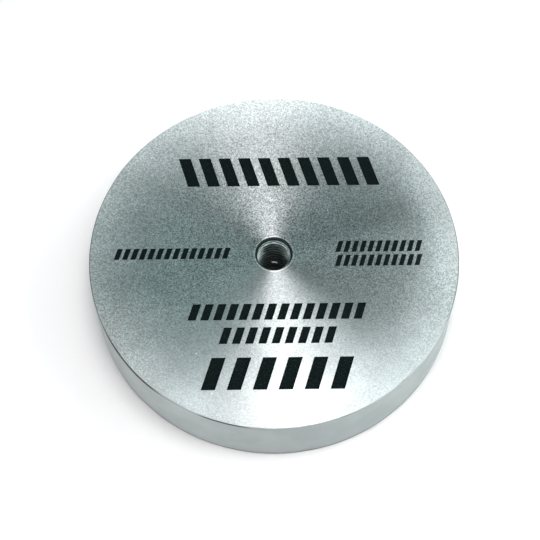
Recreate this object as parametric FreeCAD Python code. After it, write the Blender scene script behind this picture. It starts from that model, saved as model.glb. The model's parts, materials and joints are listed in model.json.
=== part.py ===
"""Single-sided pot magnet for magnet fishing, with a threaded hole for an eyebolt.

A thick steel cup opens downwards. Magnet segments stand in a ring round a steel core inside it,
all with the same pole down, and the cup's rim and the core carry the flux back to the working
face. Spacer rings hold the ring of magnets off the steel while it is glued in, and resin fills
what is left. The core is pressed into the cup and both are then tapped together from the top.

Units are millimetres. The origin is the centre of the working face, which the magnet stands on,
and +Z runs up the axis, out of the eyebolt's hole.
"""

import FreeCAD
import Part
import math
import os

# Cup
OUTER_R = 60.0
HEIGHT = 24.0
WALL = 7.0
BACK_PLATE = 10.0
TOP_EDGE_CHAMFER = 0.3
FOOT_EDGE_CHAMFER = 0.8
RIM_INNER_CHAMFER = 0.5

# Core, a plug of steel with a spigot that is pressed into the back plate
CORE_R = 15.0
SPIGOT_R = 10.0
SPIGOT_LENGTH = 4.0
CORE_EDGE_CHAMFER = 0.5

# Eyebolt thread, M12 x 1.75, drilled right through and tapped from the top
THREAD_MAJOR_R = 6.0
THREAD_PITCH = 1.75
TAP_DRILL_R = 5.25
THREAD_DEPTH = 20.0
FLANK_ANGLE = math.radians(30)
COUNTERSINK_R = 6.1
COUNTERSINK_HALF_ANGLE = math.radians(30)
BORE_FOOT_CHAMFER = 0.5

# Magnet ring
SEGMENTS = 12
MAGNET_INNER_R = 19.0
MAGNET_OUTER_R = 50.0
MAGNET_GAP = 1.0
MAGNET_RECESS = 0.5
MAGNET_CORNER_R = 1.0
MAGNET_EDGE_CHAMFER = 0.4

# What holds the magnets
ADHESIVE_THICKNESS = 0.2
SPACER_HEIGHT = 8.0
SPACER_EDGE_CHAMFER = 0.4
RESIN_LEVEL = 1.2

CAVITY_DEPTH = HEIGHT - BACK_PLATE
CAVITY_R = OUTER_R - WALL
ADHESIVE_Z = CAVITY_DEPTH - ADHESIVE_THICKNESS

UP = FreeCAD.Vector(0, 0, 1)
TOLERANCE = 1e-6


def at(radius, z):
    """The point at this radius and height in the XZ plane."""
    return FreeCAD.Vector(radius, 0, z)


def turned(profile):
    """The solid that a closed profile of (radius, z) points sweeps in one turn about Z."""
    points = [at(radius, z) for radius, z in profile]
    face = Part.Face(Part.makePolygon([*points, points[0]]))
    return face.revolve(FreeCAD.Vector(), UP, 360)


def ring(inner_r, outer_r, low_z, high_z):
    """A plain ring of rectangular section about Z."""
    return turned([(inner_r, low_z), (outer_r, low_z), (outer_r, high_z), (inner_r, high_z)])


def one_solid(shape):
    """The only solid in the result of a boolean, which comes back as a compound."""
    if len(shape.Solids) != 1:
        raise ValueError(f"expected one solid and found {len(shape.Solids)}")
    return shape.Solids[0]


def steelwork_blank():
    """Cup and core as one turned shape, with spare stock above the back plate round the bore."""
    stock_r = 2 * THREAD_MAJOR_R
    stock_top = HEIGHT + 4 * THREAD_PITCH
    return turned([
        (TAP_DRILL_R, -BORE_FOOT_CHAMFER),
        (TAP_DRILL_R + BORE_FOOT_CHAMFER, 0),
        (CORE_R - CORE_EDGE_CHAMFER, 0),
        (CORE_R, CORE_EDGE_CHAMFER),
        (CORE_R, CAVITY_DEPTH),
        (CAVITY_R, CAVITY_DEPTH),
        (CAVITY_R, RIM_INNER_CHAMFER),
        (CAVITY_R + RIM_INNER_CHAMFER, 0),
        (OUTER_R - FOOT_EDGE_CHAMFER, 0),
        (OUTER_R, FOOT_EDGE_CHAMFER),
        (OUTER_R, HEIGHT - TOP_EDGE_CHAMFER),
        (OUTER_R - TOP_EDGE_CHAMFER, HEIGHT),
        (stock_r, HEIGHT),
        (stock_r, stock_top),
        (TAP_DRILL_R, stock_top),
    ])


def thread_groove(low_z, high_z):
    """The helical groove that a 60 degree tap leaves, reaching a little inside the bore."""
    inner_r = TAP_DRILL_R - THREAD_PITCH / 7
    half_root = THREAD_PITCH / 16
    half_mouth = half_root + (THREAD_MAJOR_R - inner_r) * math.tan(FLANK_ANGLE)
    section = Part.makePolygon([
        at(inner_r, low_z - half_mouth),
        at(THREAD_MAJOR_R, low_z - half_root),
        at(THREAD_MAJOR_R, low_z + half_root),
        at(inner_r, low_z + half_mouth),
        at(inner_r, low_z - half_mouth),
    ])
    helix = Part.makeHelix(THREAD_PITCH, high_z - low_z, TAP_DRILL_R)
    helix.translate(at(0, low_z))
    make_solid, frenet = True, True
    return Part.Wire(helix.Edges).makePipeShell([section], make_solid, frenet)


def countersink():
    """The cone that opens the top of the bore to just over the thread's major diameter."""
    slope = math.tan(COUNTERSINK_HALF_ANGLE)
    depth = (COUNTERSINK_R - TAP_DRILL_R) / slope
    spare = THREAD_PITCH / 4
    return Part.makeCone(
        TAP_DRILL_R - spare * slope,
        COUNTERSINK_R + spare * slope,
        depth + 2 * spare,
        at(0, HEIGHT - depth - spare),
    )


def bore_foot_chamfer():
    """The small cone that breaks the bore's edge in the working face."""
    return Part.makeCone(
        TAP_DRILL_R + 2 * BORE_FOOT_CHAMFER,
        TAP_DRILL_R,
        2 * BORE_FOOT_CHAMFER,
        at(0, -BORE_FOOT_CHAMFER),
    )


def tapped_steelwork():
    """Cup and core together, tapped, then cut back to the top face and countersunk."""
    groove = thread_groove(HEIGHT - THREAD_DEPTH, HEIGHT + 2 * THREAD_PITCH)
    stock_above = Part.makeCylinder(OUTER_R, HEIGHT, at(0, HEIGHT))
    below_foot = Part.makeCylinder(OUTER_R, HEIGHT, at(0, -HEIGHT))
    shape = steelwork_blank().cut(groove)
    for tool in (stock_above, below_foot, countersink(), bore_foot_chamfer()):
        shape = shape.cut(tool)
    return one_solid(shape)


def core_envelope(spigot_chamfer):
    """The space that the core takes, with its spigot in the back plate."""
    top = CAVITY_DEPTH + SPIGOT_LENGTH
    return turned([
        (0, 0),
        (CORE_R, 0),
        (CORE_R, CAVITY_DEPTH),
        (SPIGOT_R, CAVITY_DEPTH),
        (SPIGOT_R, top - spigot_chamfer),
        (SPIGOT_R - spigot_chamfer, top),
        (0, top),
    ])


def stands_upright(edge):
    """Whether the edge runs straight up, which makes its box as tall as the box's diagonal."""
    box = edge.BoundBox
    return box.DiagonalLength - box.ZLength < TOLERANCE


def magnet_segment():
    """One arc-shaped magnet on the +X axis, square to its neighbours across an even gap."""
    half_gap = MAGNET_GAP / 2
    half_angle = math.pi / SEGMENTS

    def corner(radius):
        """Where this radius meets the side, which runs half a gap inside the radial line."""
        return half_angle - math.asin(half_gap / radius)

    def on_arc(radius, angle):
        return FreeCAD.Vector(radius * math.cos(angle), radius * math.sin(angle), MAGNET_RECESS)

    inner, outer = corner(MAGNET_INNER_R), corner(MAGNET_OUTER_R)
    outline = Part.Wire([
        Part.Arc(*(on_arc(MAGNET_OUTER_R, a) for a in (-outer, 0, outer))).toShape(),
        Part.makeLine(on_arc(MAGNET_OUTER_R, outer), on_arc(MAGNET_INNER_R, inner)),
        Part.Arc(*(on_arc(MAGNET_INNER_R, a) for a in (inner, 0, -inner))).toShape(),
        Part.makeLine(on_arc(MAGNET_INNER_R, -inner), on_arc(MAGNET_OUTER_R, -outer)),
    ])
    block = Part.Face(outline).extrude(UP * (ADHESIVE_Z - MAGNET_RECESS))
    upright = [edge for edge in block.Edges if stands_upright(edge)]
    block = block.makeFillet(MAGNET_CORNER_R, upright)
    working = [edge for edge in block.Edges if edge.BoundBox.ZMax < MAGNET_RECESS + TOLERANCE]
    return one_solid(block.makeChamfer(MAGNET_EDGE_CHAMFER, working))


def spacer_ring(inner_r, outer_r):
    """A spacer at the back of the cavity, with its near edges broken."""
    near = CAVITY_DEPTH - SPACER_HEIGHT
    c = SPACER_EDGE_CHAMFER
    return turned([
        (inner_r + c, near),
        (outer_r - c, near),
        (outer_r, near + c),
        (outer_r, CAVITY_DEPTH),
        (inner_r, CAVITY_DEPTH),
        (inner_r, near + c),
    ])


def resin(others):
    """What is left of the cavity, up to the resin's level below the magnets' faces."""
    fill = ring(CORE_R, CAVITY_R, RESIN_LEVEL, CAVITY_DEPTH)
    return one_solid(fill.cut(Part.makeCompound(others)))


def build():
    """Every piece as {node name: solid}."""
    steelwork = tapped_steelwork()
    pieces = {
        "cup": one_solid(steelwork.cut(core_envelope(spigot_chamfer=0))),
        "centre_core": one_solid(steelwork.common(core_envelope(CORE_EDGE_CHAMFER))),
        "outer_spacer_ring": spacer_ring(MAGNET_OUTER_R, CAVITY_R),
        "inner_spacer_ring": spacer_ring(CORE_R, MAGNET_INNER_R),
        "adhesive_layer": ring(MAGNET_INNER_R, MAGNET_OUTER_R, ADHESIVE_Z, CAVITY_DEPTH),
    }
    segment = magnet_segment()
    for i in range(SEGMENTS):
        placed = segment.copy()
        placed.rotate(FreeCAD.Vector(), UP, 360 * i / SEGMENTS)
        pieces[f"magnet_segment_{i + 1:02d}"] = placed
    inside = [piece for name, piece in pieces.items() if name not in ("cup", "centre_core")]
    pieces["potting_resin"] = resin(inside)
    return pieces


os.makedirs("parts", exist_ok=True)
for name, piece in build().items():
    if not piece.isValid() or piece.Volume <= 0:
        raise ValueError(f"{name} is not a valid solid")
    piece.exportStep(f"parts/{name}.step")
    print(f"{name}: {piece.Volume / 1000:.2f} cm3, {len(piece.Faces)} faces")
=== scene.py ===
"""How the magnet fishing magnet looks: steel faced on a lathe, dark printing, nickel-plated magnets.

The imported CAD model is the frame, and every size here is in metres. The printing on the top face is
the one thing that CAD has no solid for. It's a set of plain slanted bars, with no lettering.
Azimuths are in degrees about the magnet's axis, from +X towards +Y, so the front is at 270.
"""

import json
import math
from functools import cached_property, reduce

import bmesh
import bpy
from mathutils import Matrix, Vector

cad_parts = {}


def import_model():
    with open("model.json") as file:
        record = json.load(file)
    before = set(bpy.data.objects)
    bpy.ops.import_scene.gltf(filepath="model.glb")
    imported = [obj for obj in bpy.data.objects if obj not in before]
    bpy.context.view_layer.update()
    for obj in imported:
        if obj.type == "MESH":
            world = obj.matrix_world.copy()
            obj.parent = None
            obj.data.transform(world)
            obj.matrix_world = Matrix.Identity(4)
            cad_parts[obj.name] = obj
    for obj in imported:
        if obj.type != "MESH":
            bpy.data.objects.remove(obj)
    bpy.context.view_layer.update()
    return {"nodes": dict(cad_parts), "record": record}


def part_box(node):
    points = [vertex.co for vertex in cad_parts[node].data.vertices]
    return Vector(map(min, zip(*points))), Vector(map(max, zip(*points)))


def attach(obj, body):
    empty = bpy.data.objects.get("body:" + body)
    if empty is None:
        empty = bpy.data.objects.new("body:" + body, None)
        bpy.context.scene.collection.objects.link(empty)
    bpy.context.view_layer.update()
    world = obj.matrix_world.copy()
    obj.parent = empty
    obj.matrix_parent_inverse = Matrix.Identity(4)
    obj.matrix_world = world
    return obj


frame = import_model()

MM = 0.001

# Taken from the frame
CUP_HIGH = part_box("cup")[1]
DISC_R = CUP_HIGH.x
TOP_Z = CUP_HIGH.z
BORE_MOUNT = next(m for m in frame["record"]["mounts"] if m["name"] == "eyebolt_thread")
BORE_R = BORE_MOUNT["dims"]["r_mm"] * MM
COUNTERSINK_R = BORE_R + 0.85 * MM


# Materials

class Nodes:
    """Builds one material's node tree, with short names for what this file uses."""

    def __init__(self, name):
        self.material = bpy.data.materials.new(name)
        self.material.use_nodes = True
        self.tree = self.material.node_tree
        self.shader = self.tree.nodes["Principled BSDF"]
        self.place = self.add("ShaderNodeTexCoord").outputs["Object"]

    @cached_property
    def xyz(self):
        """The three coordinates of the place."""
        return self.split(self.place)

    @cached_property
    def radius(self):
        """Distance from the magnet's axis."""
        x, y, _ = self.xyz
        return self.math("SQRT", self.math("ADD", self.product(x, x), self.product(y, y)))

    def add(self, kind, **settings):
        node = self.tree.nodes.new(kind)
        for name, value in settings.items():
            setattr(node, name, value)
        return node

    def feed(self, socket, value):
        """Links value to the socket if it's another node's output, and sets it if it's plain."""
        if isinstance(value, bpy.types.NodeSocket):
            self.tree.links.new(value, socket)
        else:
            socket.default_value = value

    def set(self, **values):
        """Feeds the shader's inputs, which are named here with _ for each space."""
        for name, value in values.items():
            self.feed(self.shader.inputs[name.replace("_", " ")], value)

    def math(self, operation, *values):
        node = self.add("ShaderNodeMath", operation=operation)
        for socket, value in zip(node.inputs, values):
            self.feed(socket, value)
        return node.outputs[0]

    def product(self, *values):
        return reduce(lambda a, b: self.math("MULTIPLY", a, b), values)

    def largest(self, *values):
        return reduce(lambda a, b: self.math("MAXIMUM", a, b), values)

    def split(self, vector):
        node = self.add("ShaderNodeSeparateXYZ")
        self.feed(node.inputs[0], vector)
        return node.outputs

    def join(self, x, y, z):
        node = self.add("ShaderNodeCombineXYZ")
        for socket, value in zip(node.inputs, (x, y, z)):
            self.feed(socket, value)
        return node.outputs[0]

    def facing(self, azimuth):
        """The cosine of the angle about the axis from this azimuth."""
        x, y, _ = self.xyz
        turn = math.radians(azimuth)
        along = self.math("ADD", self.product(x, math.cos(turn)), self.product(y, math.sin(turn)))
        return self.math("DIVIDE", along, self.radius)

    def ramp(self, value, low, high, to_low=0.0, to_high=1.0, smooth=True):
        """value's stretch from low to high, spread over to_low to to_high and held beyond it."""
        node = self.add("ShaderNodeMapRange", clamp=True)
        if smooth:
            node.interpolation_type = "SMOOTHSTEP"
        names = ("Value", "From Min", "From Max", "To Min", "To Max")
        for name, number in zip(names, (value, low, high, to_low, to_high)):
            self.feed(node.inputs[name], number)
        return node.outputs[0]

    def noise(self, size, detail, place=None):
        """Noise from 0 to 1 whose features are about this size in metres."""
        node = self.add("ShaderNodeTexNoise")
        self.feed(node.inputs["Vector"], place or self.place)
        self.feed(node.inputs["Scale"], 1 / size)
        self.feed(node.inputs["Detail"], detail)
        return node.outputs["Fac"]

    def cells(self, size):
        """Each cell's random level from 0 to 1, and the distance to its middle in cells."""
        node = self.add("ShaderNodeTexVoronoi")
        self.feed(node.inputs["Vector"], self.place)
        self.feed(node.inputs["Scale"], 1 / size)
        return self.split(node.outputs["Color"])[0], node.outputs["Distance"]

    def specks(self, spacing, size, share):
        """1 inside specks of this size, in this share of places this far apart, and 0 between."""
        level, distance = self.cells(spacing)
        near = self.ramp(distance, 0.5 * size / spacing, 0.6 * size / spacing, 1.0, 0.0)
        return self.product(near, self.math("LESS_THAN", level, share))

    def mix(self, factor, a, b):
        """From colour a to colour b."""
        node = self.add("ShaderNodeMix", data_type="RGBA")
        self.feed(node.inputs["Factor"], factor)
        self.feed(node.inputs[6], a)
        self.feed(node.inputs[7], b)
        return node.outputs[2]

    def mix_number(self, factor, a, b):
        """From number a to number b."""
        node = self.add("ShaderNodeMix", data_type="FLOAT")
        for index, value in ((0, factor), (2, a), (3, b)):
            self.feed(node.inputs[index], value)
        return node.outputs[0]

    def tinted(self, colour, factor):
        """colour times this number."""
        node = self.add("ShaderNodeVectorMath", operation="SCALE")
        self.feed(node.inputs["Vector"], colour)
        self.feed(node.inputs["Scale"], factor)
        return node.outputs["Vector"]

    def bump(self, height, depth, below=None):
        """A bump whose height of 0 to 1 stands for this depth in metres, over any earlier bump."""
        node = self.add("ShaderNodeBump")
        self.feed(node.inputs["Strength"], 1.0)
        self.feed(node.inputs["Distance"], depth)
        self.feed(node.inputs["Height"], height)
        if below is not None:
            self.feed(node.inputs["Normal"], below)
        return node.outputs["Normal"]


# The tapped hole, which runs through both the cup and the core

# Painted shade: the hole's walls and countersink are near black and not metal, standing in for the
# shade inside the hole
PAINTED_SHADE_WALL = (0.010, 0.023, 0.021, 1)
PAINTED_SHADE_COUNTERSINK = (0.02, 0.03, 0.029, 1)
BARE_CREST = (0.85, 0.98, 0.96, 1)
BORE_WALL_SPECULAR = 0.06
# Where a painted glint sits on one crest deep in the hole
PAINTED_GLINT_Z = TOP_Z - 16.6 * MM
PAINTED_GLINT_AZIMUTH = 88


def crest_metal_and_painted_light(nodes):
    """How bare the thread is, from 0 to 1: bare metal on its crests. Their bright first turn, their
    fading with depth and away from the sides, and one deep glint are painted light and shade.
    """
    x, _, z = nodes.xyz
    on_crest = nodes.ramp(nodes.radius, BORE_R + 0.10 * MM, BORE_R + 0.24 * MM, 1.0, 0.0)
    # Painted highlight on the first turn of the thread
    painted_first_turn_light = nodes.ramp(z, TOP_Z - 4.0 * MM, TOP_Z - 3.2 * MM)
    # Painted shade: the crests fade with depth and away from the sides
    painted_crest_fade = nodes.math("POWER", nodes.ramp(z, TOP_Z - 24 * MM, TOP_Z - 3 * MM, smooth=False), 2.5)
    sideways = nodes.math("DIVIDE", nodes.math("ABSOLUTE", x), nodes.radius)
    painted_crest_fade = nodes.product(painted_crest_fade, nodes.ramp(sideways, 0.4, 0.9, 0.2, 1.0))
    dirt = nodes.ramp(nodes.noise(1.5 * MM, detail=3.0), 0.35, 0.65, 0.5, 1.0)
    bare_crest_painted_light = nodes.product(nodes.largest(painted_first_turn_light, painted_crest_fade), dirt)

    # Painted glint on one crest deep in the hole
    off_painted_glint = nodes.math("ABSOLUTE", nodes.math("SUBTRACT", PAINTED_GLINT_Z, z))
    at_depth = nodes.ramp(off_painted_glint, 0.9 * MM, 1.1 * MM, 1.0, 0.0)
    painted_glint = nodes.product(at_depth, nodes.ramp(nodes.facing(PAINTED_GLINT_AZIMUTH), 0.975, 0.992, 0.0, 0.75))
    return nodes.product(on_crest, nodes.largest(bare_crest_painted_light, painted_glint))


def tapped_bore(nodes, colour):
    """Colour and metalness: this colour and bare metal, but dark inside the hole, where painted shade
    darkens the walls and countersink between bare crests.
    """
    height_and_radius = nodes.math("ADD", nodes.xyz[2], nodes.radius)
    # True over most of the countersink, and where the thread runs out into it
    countersunk = nodes.math("GREATER_THAN", height_and_radius, TOP_Z + BORE_R - 0.6 * MM)
    # Bare crests with painted light on them, none in the countersink
    bare_crest_painted_light = nodes.product(crest_metal_and_painted_light(nodes), nodes.math("SUBTRACT", 1.0, countersunk))
    # Painted shade on the walls and countersink inside the hole
    wall = nodes.mix(countersunk, PAINTED_SHADE_WALL, PAINTED_SHADE_COUNTERSINK)
    bore = nodes.mix(bare_crest_painted_light, wall, BARE_CREST)
    mouth = COUNTERSINK_R + 0.04 * MM
    inside = nodes.ramp(nodes.radius, mouth - 0.03 * MM, mouth, 1.0, 0.0)
    metal = nodes.mix_number(inside, 1.0, nodes.ramp(bare_crest_painted_light, 0.0, 0.3))
    return nodes.mix(inside, colour, bore), metal


# The cup

# From the middle to the rim the top turns lighter: partly a paler frosted finish, partly painted
# shade in the middle and painted light at the rim
FACE_MIDDLE = (0.42, 0.45, 0.45, 1)
FACE_RIM = (0.72, 0.75, 0.75, 1)
FACE_SPECK = (0.9, 0.93, 0.93, 1)
FACE_BURR = (0.93, 0.96, 0.96, 1)
SIDE_DARK = (0.385, 0.43, 0.425, 1)
SIDE_LIGHT = (0.445, 0.475, 0.475, 1)
EDGE = (0.99, 1.0, 1.0)

SPECKLE = 0.62
SPECKLE_SIZE = 0.3 * MM
MOTTLE_SIZE = 9 * MM
RING_PITCH = 0.9 * MM
GRAIN_SIZE = 0.6 * MM
GRAIN_DEPTH = 0.035 * MM
STREAK_LENGTH = 80 * MM
STREAK_HEIGHT = 0.3 * MM
ROLL_OFF_R = 0.7 * DISC_R
ROLL_OFF_SLOPE = 0.12
SIDE_ROUGHNESS = 0.42
EDGE_ROUGHNESS = 0.28

# Where the painted highlights and painted shade on the cup, and the calmer part of its grain, have
# their middles
PAINTED_HIGHLIGHT_AZIMUTH = 12
CALM_AZIMUTH = 275
PAINTED_HIGHLIGHT_BACK_AZIMUTH = 98
PAINTED_HIGHLIGHT_FRONT_LEFT_AZIMUTH = 241
PAINTED_HIGHLIGHT_FRONT_RIGHT_AZIMUTH = 302
PAINTED_SHADE_LEFT_AZIMUTH = 165
PAINTED_SHADE_LINE_LEFT_AZIMUTH = 219
PAINTED_SHADE_LINE_FRONT_AZIMUTH = 254.5


def cutting_marks(nodes):
    """Runs the shader's highlights across the cutting marks, which go round the axis."""
    tangent = nodes.add("ShaderNodeTangent", direction_type="RADIAL", axis="Z")
    nodes.set(Tangent=tangent.outputs[0], Anisotropic=0.85, Anisotropic_Rotation=0.25)


def face_finish(nodes, frosting, mottle):
    """The faced top's colour: lighter towards the rim, partly frosting and partly painted light, with
    painted light near the hole and painted shade further out, mottled, and with a painted highlight
    at one side of the rim.
    """
    radius = nodes.radius
    colour = nodes.mix(frosting, FACE_MIDDLE, FACE_RIM)
    colour = nodes.tinted(colour, nodes.ramp(mottle, 0.3, 0.7, 0.95, 1.05))
    # Painted light near the hole and painted shade further out
    painted_light_near_hole = nodes.ramp(radius, 0.12 * DISC_R, 0.30 * DISC_R, 1.20, 1.12)
    painted_shade_further_out = nodes.ramp(radius, 0.5 * DISC_R, 0.72 * DISC_R, 1.0, 0.90)
    colour = nodes.tinted(colour, nodes.product(painted_light_near_hole, painted_shade_further_out))
    # Painted highlight on the rim at one side
    painted_rim_highlight = nodes.product(nodes.ramp(nodes.facing(PAINTED_HIGHLIGHT_AZIMUTH), 0.86, 0.995, 0.0, 0.28),
                           nodes.ramp(radius, 0.8 * DISC_R, 0.92 * DISC_R))
    return nodes.tinted(colour, nodes.math("ADD", painted_rim_highlight, 1.0))


def face_details(nodes, colour, mottle):
    """Adds the top's faint rings near the hole, its bright specks and its burr round the hole."""
    radius = nodes.radius
    waves = nodes.math("SINE", nodes.product(radius, 2 * math.pi / RING_PITCH))
    near_hole = nodes.ramp(radius, 7 * MM, 11 * MM, 0.12, 0.0)
    rings = nodes.product(waves, near_hole, nodes.ramp(mottle, 0.45, 0.6))
    colour = nodes.tinted(colour, nodes.math("ADD", rings, 1.0))
    specks = nodes.specks(spacing=2.5 * MM, size=0.5 * MM, share=0.12)
    colour = nodes.mix(specks, colour, FACE_SPECK)
    burr = nodes.ramp(radius, COUNTERSINK_R + 0.35 * MM, COUNTERSINK_R + 0.5 * MM, 1.0, 0.0)
    return nodes.mix(burr, colour, FACE_BURR)


def face_speckle(nodes):
    """What the top's colour is multiplied by in each grain: nearer 1 at the rim and in front."""
    level, _ = nodes.cells(SPECKLE_SIZE)
    speckle = nodes.ramp(level, 0.0, 1.0, -1.0, 1.0, smooth=False)
    strength = nodes.ramp(nodes.radius, 0.3 * DISC_R, DISC_R, SPECKLE, 0.6 * SPECKLE)
    calm = nodes.ramp(nodes.facing(CALM_AZIMUTH), 0.3, 0.85, 1.0, 0.45)
    return nodes.math("ADD", nodes.product(speckle, strength, calm), 1.0)


def side_finish(nodes, mottle, streaks):
    """The turned side's colour, mottled and finely streaked, with painted shade at its foot."""
    colour = nodes.mix(nodes.ramp(mottle, 0.3, 0.7), SIDE_DARK, SIDE_LIGHT)
    colour = nodes.tinted(colour, nodes.ramp(streaks, 0.3, 0.7, 0.96, 1.04))
    on_wall = nodes.ramp(nodes.radius, DISC_R - 0.9 * MM, DISC_R - 0.8 * MM)
    # Painted shade along the foot of the side
    painted_foot_shade = nodes.product(on_wall, nodes.ramp(nodes.xyz[2], 0.9 * MM, 1.9 * MM, 0.5, 0.0))
    return nodes.tinted(colour, nodes.math("SUBTRACT", 1.0, painted_foot_shade))


def edged(nodes, colour, on_edge):
    """colour, with painted highlights and painted shade along the top edge, and a painted dark line
    of shade just under it.
    """
    # Painted highlights and painted shade along the top edge, by azimuth
    front_left = nodes.ramp(nodes.facing(PAINTED_HIGHLIGHT_FRONT_LEFT_AZIMUTH), 0.88, 0.96)
    painted_highlight = nodes.largest(
        nodes.ramp(nodes.facing(PAINTED_HIGHLIGHT_BACK_AZIMUTH), 0.6, 0.99),
        nodes.ramp(nodes.facing(PAINTED_HIGHLIGHT_FRONT_RIGHT_AZIMUTH), 0.77, 0.87),
        nodes.product(front_left, 0.9),
    )
    painted_shade = nodes.ramp(nodes.facing(PAINTED_SHADE_LEFT_AZIMUTH), 0.8, 0.98, 0.42, 0.28)
    colour = nodes.mix(on_edge, colour, nodes.tinted(EDGE, nodes.mix_number(painted_highlight, painted_shade, 0.85)))

    # Painted shade: a dark line along the top of the side, just under the edge
    z = nodes.xyz[2]
    left_shade_line = nodes.ramp(nodes.facing(PAINTED_SHADE_LINE_LEFT_AZIMUTH), 0.95, 0.99)
    front_shade_line = nodes.ramp(nodes.facing(PAINTED_SHADE_LINE_FRONT_AZIMUTH), 0.983, 0.998)
    shade_line_foot = nodes.math("SUBTRACT", TOP_Z - 0.80 * MM, nodes.product(left_shade_line, 0.9 * MM))
    painted_shade_line = nodes.product(
        nodes.ramp(z, TOP_Z - 0.20 * MM, TOP_Z - 0.12 * MM, 1.0, 0.0),
        nodes.math("GREATER_THAN", z, shade_line_foot),
        nodes.ramp(nodes.radius, DISC_R - 0.4 * MM, DISC_R - 0.35 * MM),
        nodes.largest(left_shade_line, front_shade_line, nodes.product(front_left, 0.42)),
    )
    return nodes.tinted(colour, nodes.ramp(painted_shade_line, 0.0, 1.0, 1.0, 0.08, smooth=False))


def cup_roughness(nodes, frosting, on_top, on_edge):
    """Rougher towards the rim of the top, and smoothest along its edge."""
    face = nodes.ramp(frosting, 0.0, 1.0, 0.33, 0.55, smooth=False)
    near_bore = nodes.ramp(nodes.radius, 0.1 * DISC_R, 0.35 * DISC_R, 0.03, 0.0, smooth=False)
    face = nodes.math("SUBTRACT", face, near_bore)
    return nodes.mix_number(on_edge, nodes.mix_number(on_top, SIDE_ROUGHNESS, face), EDGE_ROUGHNESS)


def cup_normal(nodes, streaks, on_top):
    """Grain on the top and streaks on the side, over a top that falls slightly towards its rim."""
    grain = nodes.noise(GRAIN_SIZE, detail=0.0)
    grain = nodes.product(grain, nodes.ramp(nodes.radius, 0.15 * DISC_R, 0.6 * DISC_R, 0.3, 1.0))
    height = nodes.mix_number(on_top, streaks, grain)
    past = nodes.largest(nodes.math("SUBTRACT", nodes.radius, ROLL_OFF_R), 0.0)
    curvature = ROLL_OFF_SLOPE / (2 * (DISC_R - ROLL_OFF_R))
    sag = nodes.product(nodes.math("POWER", past, 2.0), -curvature, on_top)
    return nodes.bump(height, GRAIN_DEPTH, below=nodes.bump(sag, 1.0))


def faced_steel():
    """The cup: a faced top with a fine sparkling grain, a smoother turned side and a bore darkened
    with painted shade.
    """
    nodes = Nodes("faced_steel")
    cutting_marks(nodes)
    x, y, z = nodes.xyz
    # The sum of radius and height is even over the edge's 0.3 mm chamfer, and less elsewhere
    radius_and_height = nodes.math("ADD", nodes.radius, z)
    corner = DISC_R + TOP_Z
    on_top = nodes.ramp(z, TOP_Z - 0.15 * MM, TOP_Z - 0.05 * MM)
    on_edge = nodes.ramp(radius_and_height, corner - 0.38 * MM, corner - 0.32 * MM)

    outward = nodes.ramp(nodes.radius, 0.45 * DISC_R, DISC_R, smooth=False)
    frosting = nodes.math("POWER", outward, 2.0)
    mottle = nodes.noise(MOTTLE_SIZE, detail=3.0)
    stretched = nodes.join(
        nodes.math("DIVIDE", x, STREAK_LENGTH),
        nodes.math("DIVIDE", y, STREAK_LENGTH),
        nodes.math("DIVIDE", z, STREAK_HEIGHT),
    )
    streaks = nodes.noise(1.0, detail=2.0, place=stretched)

    face = face_details(nodes, face_finish(nodes, frosting, mottle), mottle)
    colour = nodes.mix(on_top, side_finish(nodes, mottle, streaks), face)
    colour = nodes.tinted(colour, nodes.mix_number(on_top, 1.0, face_speckle(nodes)))
    colour, metal = tapped_bore(nodes, colour)
    nodes.set(
        Base_Color=edged(nodes, colour, on_edge),
        Metallic=metal,
        Roughness=cup_roughness(nodes, frosting, on_top, on_edge),
        Specular_IOR_Level=BORE_WALL_SPECULAR,
        Normal=cup_normal(nodes, streaks, on_top),
    )
    return nodes.material


# The other materials

FINE_BUMP = 0.01 * MM


def plain_metal(name, colour, roughness):
    """An even metal, with the same hole through it as the cup's, darkened with painted shade and with
    painted light on its crests.
    """
    nodes = Nodes(name)
    grain = nodes.noise(1.2 * MM, detail=3.0)
    varied = nodes.mix(grain, [0.9 * c for c in colour] + [1], [*colour, 1])
    colour, metal = tapped_bore(nodes, varied)
    nodes.set(
        Base_Color=colour,
        Metallic=metal,
        Roughness=nodes.ramp(grain, 0.3, 0.7, roughness - 0.05, roughness + 0.05),
        Specular_IOR_Level=BORE_WALL_SPECULAR,
        Normal=nodes.bump(grain, FINE_BUMP),
    )
    return nodes.material


def plain_plastic(name, colour, roughness):
    nodes = Nodes(name)
    grain = nodes.noise(1.5 * MM, detail=3.0)
    nodes.set(
        Base_Color=nodes.mix(grain, [0.8 * c for c in colour] + [1], [*colour, 1]),
        Roughness=roughness,
        Normal=nodes.bump(grain, FINE_BUMP),
    )
    return nodes.material


def printing_ink():
    """Matt and nearly black, a little lighter where it's worn."""
    nodes = Nodes("printing_ink")
    grain = nodes.noise(0.6 * MM, detail=3.0)
    worn = nodes.ramp(grain, 0.45, 0.7)
    nodes.set(
        Base_Color=nodes.mix(worn, (0.002, 0.005, 0.005, 1), (0.008, 0.015, 0.014, 1)),
        Roughness=0.6,
        Specular_IOR_Level=0.04,
        Normal=nodes.bump(grain, FINE_BUMP),
    )
    return nodes.material


# Printing

INK_THICKNESS = 0.03 * MM
INK_SINK = 0.01 * MM
SLANT = math.tan(math.radians(17))

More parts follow.
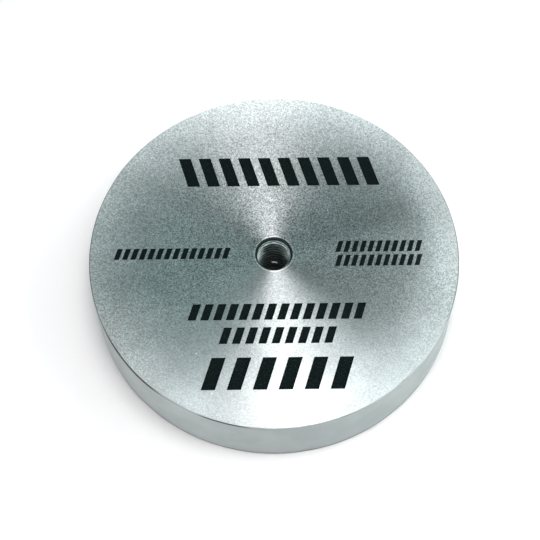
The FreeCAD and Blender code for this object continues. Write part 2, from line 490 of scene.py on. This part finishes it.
# Middle, width and height are in millimetres, and share is how much of the row's width is inked
PRINTING = {
    "print_band": dict(middle=(1.9, 30.7), width=67, height=10.8, bars=10, share=0.61, slant=-SLANT),
    "print_left": dict(middle=(-33, 0.4), width=38, height=3.9, bars=14, share=0.63),
    "print_right_upper": dict(middle=(34.2, 2.4), width=28.5, height=4.0, bars=11, share=0.6),
    "print_right_lower": dict(middle=(33.9, -2.7), width=28.5, height=4.0, bars=11, share=0.6),
    "print_upper_line": dict(middle=(0.8, -20.6), width=57, height=5.6, bars=14, share=0.64),
    "print_lower_line": dict(middle=(1.0, -28.8), width=37.5, height=5.6, bars=9, share=0.62),
    "print_block": dict(middle=(0.8, -41.7), width=48, height=10.8, bars=6, share=0.55),
}


def slanted_bar(mesh, left, middle_y, thickness, height, slant):
    """Adds one bar, a thin slab that is sunk a hair into the top face and stands just above it."""
    corners = []
    for side, up in ((0, -1), (1, -1), (1, 1), (0, 1)):
        x = left + side * thickness + up * slant * height / 2
        corners.append((x, middle_y + up * height / 2))
    low = [mesh.verts.new((x, y, TOP_Z - INK_SINK)) for x, y in corners]
    high = [mesh.verts.new((x, y, TOP_Z + INK_THICKNESS)) for x, y in corners]
    mesh.faces.new(high)
    mesh.faces.new(low[::-1])
    for k in range(4):
        n = (k + 1) % 4
        mesh.faces.new((low[k], low[n], high[n], high[k]))


def printed_row(name, ink, middle, width, height, bars, share, slant=SLANT):
    """A row of equal slanted bars that fills this width and height."""
    middle_x, middle_y = (MM * c for c in middle)
    height = MM * height
    upright_width = MM * width - abs(slant) * height
    pitch = upright_width / (bars - 1 + share)
    mesh = bmesh.new()
    for i in range(bars):
        left = middle_x - upright_width / 2 + i * pitch
        slanted_bar(mesh, left, middle_y, share * pitch, height, slant)
    data = bpy.data.meshes.new(name)
    mesh.to_mesh(data)
    mesh.free()
    data.materials.append(ink)
    piece = bpy.data.objects.new(name, data)
    bpy.context.scene.collection.objects.link(piece)
    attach(piece, "root")


def printing():
    ink = printing_ink()
    for name, row in PRINTING.items():
        printed_row(name, ink, **row)


# Dressing the CAD nodes

def dress():
    """Gives every CAD node the material whose key its name contains."""
    looks = {
        "cup": faced_steel(),
        "centre_core": plain_metal("core_steel", (0.5, 0.52, 0.52), 0.4),
        "magnet": plain_metal("nickel_plate", (0.70, 0.66, 0.60), 0.26),
        "spacer": plain_plastic("spacer_nylon", (0.75, 0.73, 0.68), 0.5),
        "adhesive_layer": plain_plastic("adhesive", (0.2, 0.19, 0.18), 0.4),
        "potting_resin": plain_plastic("resin", (0.03, 0.03, 0.035), 0.25),
    }
    for name, node in frame["nodes"].items():
        kind = next(key for key in looks if key in name)
        node.data.materials.clear()
        node.data.materials.append(looks[kind])


# Studio

CAMERA_PLACE = Vector((0, -203.9, 426.5)) * MM
CAMERA_AIM = Vector((-1.33, -4.70, 21.66)) * MM
CAMERA_ROLL = -1.015
CAMERA_LENS = 92.66

FLOOR_HALF_SIDE = 6.0
FLOOR_GAP = 0.02 * MM
FLOOR_COLOUR = (1.0, 0.96, 0.955, 1)


def placed(place, aim):
    """The matrix that puts a camera or a light at this place and turns it towards aim."""
    look = Vector(aim) - Vector(place)
    return Matrix.Translation(place) @ look.to_track_quat("-Z", "Y").to_matrix().to_4x4()


def camera():
    """Looks steeply down at the magnet from the front."""
    data = bpy.data.cameras.new("camera")
    data.sensor_width = 36
    data.lens = CAMERA_LENS
    data.clip_start = 0.01
    data.clip_end = 50
    made = bpy.data.objects.new("camera", data)
    roll = Matrix.Rotation(math.radians(CAMERA_ROLL), 4, "Z")
    made.matrix_world = placed(CAMERA_PLACE, CAMERA_AIM) @ roll
    bpy.context.scene.collection.objects.link(made)
    bpy.context.scene.camera = made


def floor():
    """A plain pale floor, a hair under the magnet."""
    data = bpy.data.meshes.new("floor")
    corners = [(FLOOR_HALF_SIDE * x, FLOOR_HALF_SIDE * y, -FLOOR_GAP)
               for x, y in ((-1, -1), (1, -1), (1, 1), (-1, 1))]
    data.from_pydata(corners, [], [(0, 1, 2, 3)])
    nodes = Nodes("floor")
    nodes.set(Base_Color=FLOOR_COLOUR, Roughness=1.0, Specular_IOR_Level=0.0)
    data.materials.append(nodes.material)
    made = bpy.data.objects.new("floor", data)
    bpy.context.scene.collection.objects.link(made)


def round_the_magnet(azimuth, elevation, distance):
    """A place in this direction from the magnet, in degrees and metres."""
    turn, tilt = math.radians(azimuth), math.radians(elevation)
    level = distance * math.cos(tilt)
    return level * math.cos(turn), level * math.sin(turn), distance * math.sin(tilt)


CENTRE = (0, 0, 0)
FAR = 3.0

# Lights with no aim hang level and face straight down
LIGHTS = {
    "key": dict(
        place=(0.033, -0.08, 0.55), size=(0.17, 0.32),
        radiance=9.4, colour=(1, 0.98, 0.99)),
    "key_side": dict(
        place=(0.22, -0.09, 0.55), size=(0.10, 0.16),
        radiance=9.8, colour=(0.87, 0.98, 1)),
    "right_strip": dict(
        place=(0.53, 0.16, 0.55), size=(0.05, 0.77),
        radiance=29, colour=(0.92, 1, 1)),
    "right_low": dict(
        place=round_the_magnet(322, 17, FAR), size=(3.8, 1.5),
        radiance=0.4, colour=(0.6, 1, 0.95), aim=CENTRE),
    "front_left": dict(
        place=(-0.38, -0.455, 0.55), size=(0.07, 0.14),
        radiance=49, colour=(0.88, 0.97, 1)),
    "left_panel": dict(
        place=round_the_magnet(197, 36, FAR), size=(2.2, 1.0),
        radiance=3.4, colour=(1, 0.97, 0.98), aim=CENTRE),
    "back_panel": dict(
        place=round_the_magnet(75, 8, FAR), size=(3.0, 0.84),
        radiance=8.7, colour=(0.85, 0.97, 0.99), aim=CENTRE),
    "overhead_fill": dict(
        place=(-0.15, 0.21, 0.55), size=(0.15, 0.35),
        radiance=0.97, colour=(0.64, 1, 0.99)),
}


def area_light(name, place, size, radiance, colour, aim=None):
    """A rectangle that the camera doesn't see, and whose energy follows from its radiance."""
    data = bpy.data.lights.new(name, "AREA")
    data.shape = "RECTANGLE"
    data.size, data.size_y = size
    data.energy = math.pi * size[0] * size[1] * radiance
    data.color = colour
    made = bpy.data.objects.new(name, data)
    made.matrix_world = Matrix.Translation(place) if aim is None else placed(place, aim)
    made.visible_camera = False
    bpy.context.scene.collection.objects.link(made)


WORLD_COLOUR = (0.82, 1.0, 0.97, 1)
WORLD_HORIZON = 0.5
WORLD_ABOVE = 0.04
WORLD_FADE = 0.15


def world():
    """A pale world, bright up to the horizon and almost dark from a little way above it."""
    made = bpy.data.worlds.new("world")
    bpy.context.scene.world = made
    made.use_nodes = True
    tree = made.node_tree
    background = tree.nodes["Background"]
    background.inputs["Color"].default_value = WORLD_COLOUR
    direction = tree.nodes.new("ShaderNodeTexCoord").outputs["Generated"]
    split = tree.nodes.new("ShaderNodeSeparateXYZ")
    strength = tree.nodes.new("ShaderNodeMapRange")
    strength.interpolation_type = "SMOOTHSTEP"
    strength.inputs["From Min"].default_value = 0.0
    strength.inputs["From Max"].default_value = WORLD_FADE
    strength.inputs["To Min"].default_value = WORLD_HORIZON
    strength.inputs["To Max"].default_value = WORLD_ABOVE
    tree.links.new(direction, split.inputs[0])
    tree.links.new(split.outputs["Z"], strength.inputs["Value"])
    tree.links.new(strength.outputs[0], background.inputs["Strength"])


def studio():
    bpy.context.scene.view_settings.view_transform = "Standard"
    world()
    for name, settings in LIGHTS.items():
        area_light(name, **settings)


camera()
floor()
studio()
dress()
printing()
